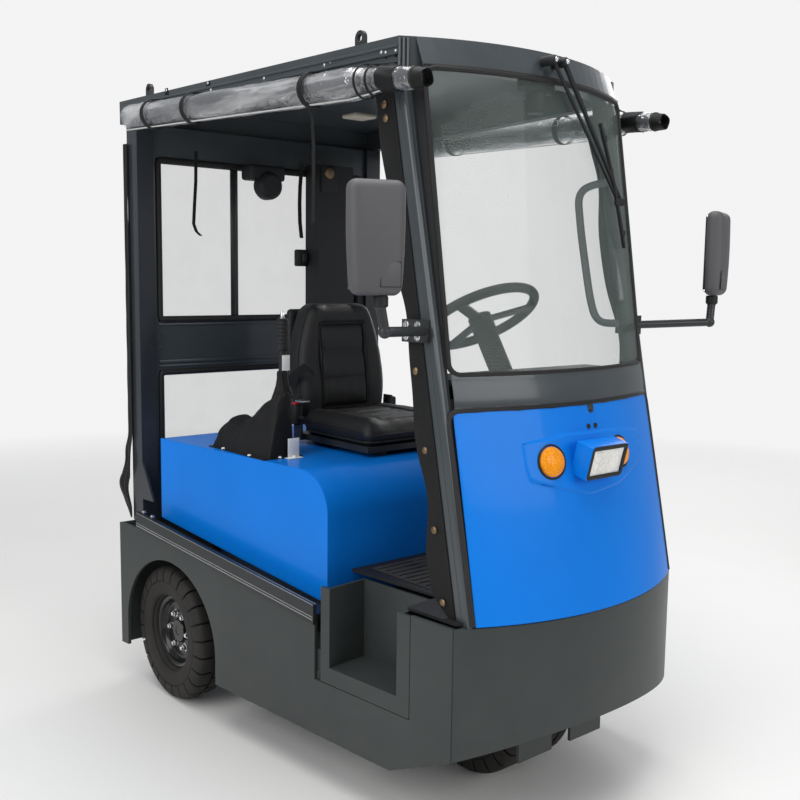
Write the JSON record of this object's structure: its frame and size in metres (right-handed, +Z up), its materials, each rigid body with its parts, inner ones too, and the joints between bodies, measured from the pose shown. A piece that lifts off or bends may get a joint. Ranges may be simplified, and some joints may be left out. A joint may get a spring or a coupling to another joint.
{
  "type": "airport baggage tug",
  "caption": "Compact electric tow tractor with open-sided cab, rolled clear side curtains, curved windscreen, blue battery hood with seat, and twin steered front wheels.",
  "frame": {"origin": "on the floor below the middle of the vehicle's bounding box", "axes": "-Y is forward, -X is the vehicle's right side, +Z is up"},
  "size_m": [1.357, 1.664, 1.9098],
  "materials": {
    "chassis_paint": "satin",
    "cab_paint": "satin",
    "blue_paint": "gloss",
    "rubber": "matte",
    "rim_paint": "gloss",
    "black_steel": "satin",
    "vinyl": "satin",
    "black_plastic": "matte",
    "grey_plastic": "satin",
    "mirror_face": "gloss",
    "clear_glass": "gloss",
    "clear_vinyl": "gloss",
    "lamp_lens": "gloss",
    "amber_lens": "gloss",
    "red_lens": "gloss",
    "bare_steel": "satin",
    "battery_case": "matte"
  },
  "bodies": {
    "chassis": {"side_plates": "chassis_paint", "nose_plate": "chassis_paint", "belly_frame": "chassis_paint", "sill_rails": "chassis_paint", "step_wells": "chassis_paint", "footwell_floor": "black_plastic", "battery": "battery_case", "rear_axle": "black_steel", "front_panel": "blue_paint", "headlamp": "lamp_lens", "front_indicators": "amber_lens", "belt_trim": "cab_paint", "a_pillars": "cab_paint", "rear_posts": "cab_paint", "roof": "cab_paint", "windscreen": "clear_glass", "rear_wall": "cab_paint", "rear_glass": "clear_glass", "equipment_column": "black_plastic", "dashboard": "black_plastic", "steering_column": "black_plastic", "mirror_arms": "black_steel", "mirror_shells": "grey_plastic", "mirror_glasses": "mirror_face", "wipers": "black_plastic", "curtain_rolls": "clear_vinyl", "curtain_straps": "vinyl", "lifting_eyes": "black_steel", "tow_jaw": "black_steel", "tow_pin": "bare_steel", "tail_lamps": "red_lens"},
    "rear_wheel_right": {"tyre_rear_right": "rubber", "rim_rear_right": "rim_paint"},
    "rear_wheel_left": {"tyre_rear_left": "rubber", "rim_rear_left": "rim_paint"},
    "steered_fork": {"steer_fork": "black_steel"},
    "front_wheels": {"tyres_front": "rubber", "rim_front": "rim_paint"},
    "driver_wheel": {"steering_wheel": "black_plastic"},
    "hood_lid": {"hood": "blue_paint", "seat_base": "black_steel", "seat_cushion": "vinyl", "seat_back": "vinyl", "brake_lever": "black_plastic", "brake_boot": "vinyl"}
  },
  "joints": [
    {"name": "spin_rear_right", "type": "hinge", "parent": "chassis", "child": "rear_wheel_right", "pos_m": [-0.44, 0.486, 0.2075], "axis": [1, 0, 0], "continuous": true},
    {"name": "spin_rear_left", "type": "hinge", "parent": "chassis", "child": "rear_wheel_left", "pos_m": [0.44, 0.486, 0.2075], "axis": [1, 0, 0], "continuous": true},
    {"name": "steer", "type": "hinge", "parent": "chassis", "child": "steered_fork", "pos_m": [0, -0.439, 0.44], "axis": [0, 0, 1], "range_deg": [-75, 75]},
    {"name": "spin_front", "type": "hinge", "parent": "steered_fork", "child": "front_wheels", "pos_m": [0, -0.439, 0.2075], "axis": [1, 0, 0], "continuous": true},
    {"name": "turn_steering_wheel", "type": "hinge", "parent": "chassis", "child": "driver_wheel", "pos_m": [0, -0.359, 1.217], "axis": [0, 0.5299, 0.848], "range_deg": [-600, 600]},
    {"name": "tilt_hood", "type": "hinge", "parent": "chassis", "child": "hood_lid", "pos_m": [0, 0.604, 0.566], "axis": [-1, 0, 0], "range_deg": [0, 20]}
  ],
  "couplings": [
    {"joint": "turn_steering_wheel", "follows": "steer", "ratio": 8}
  ]
}
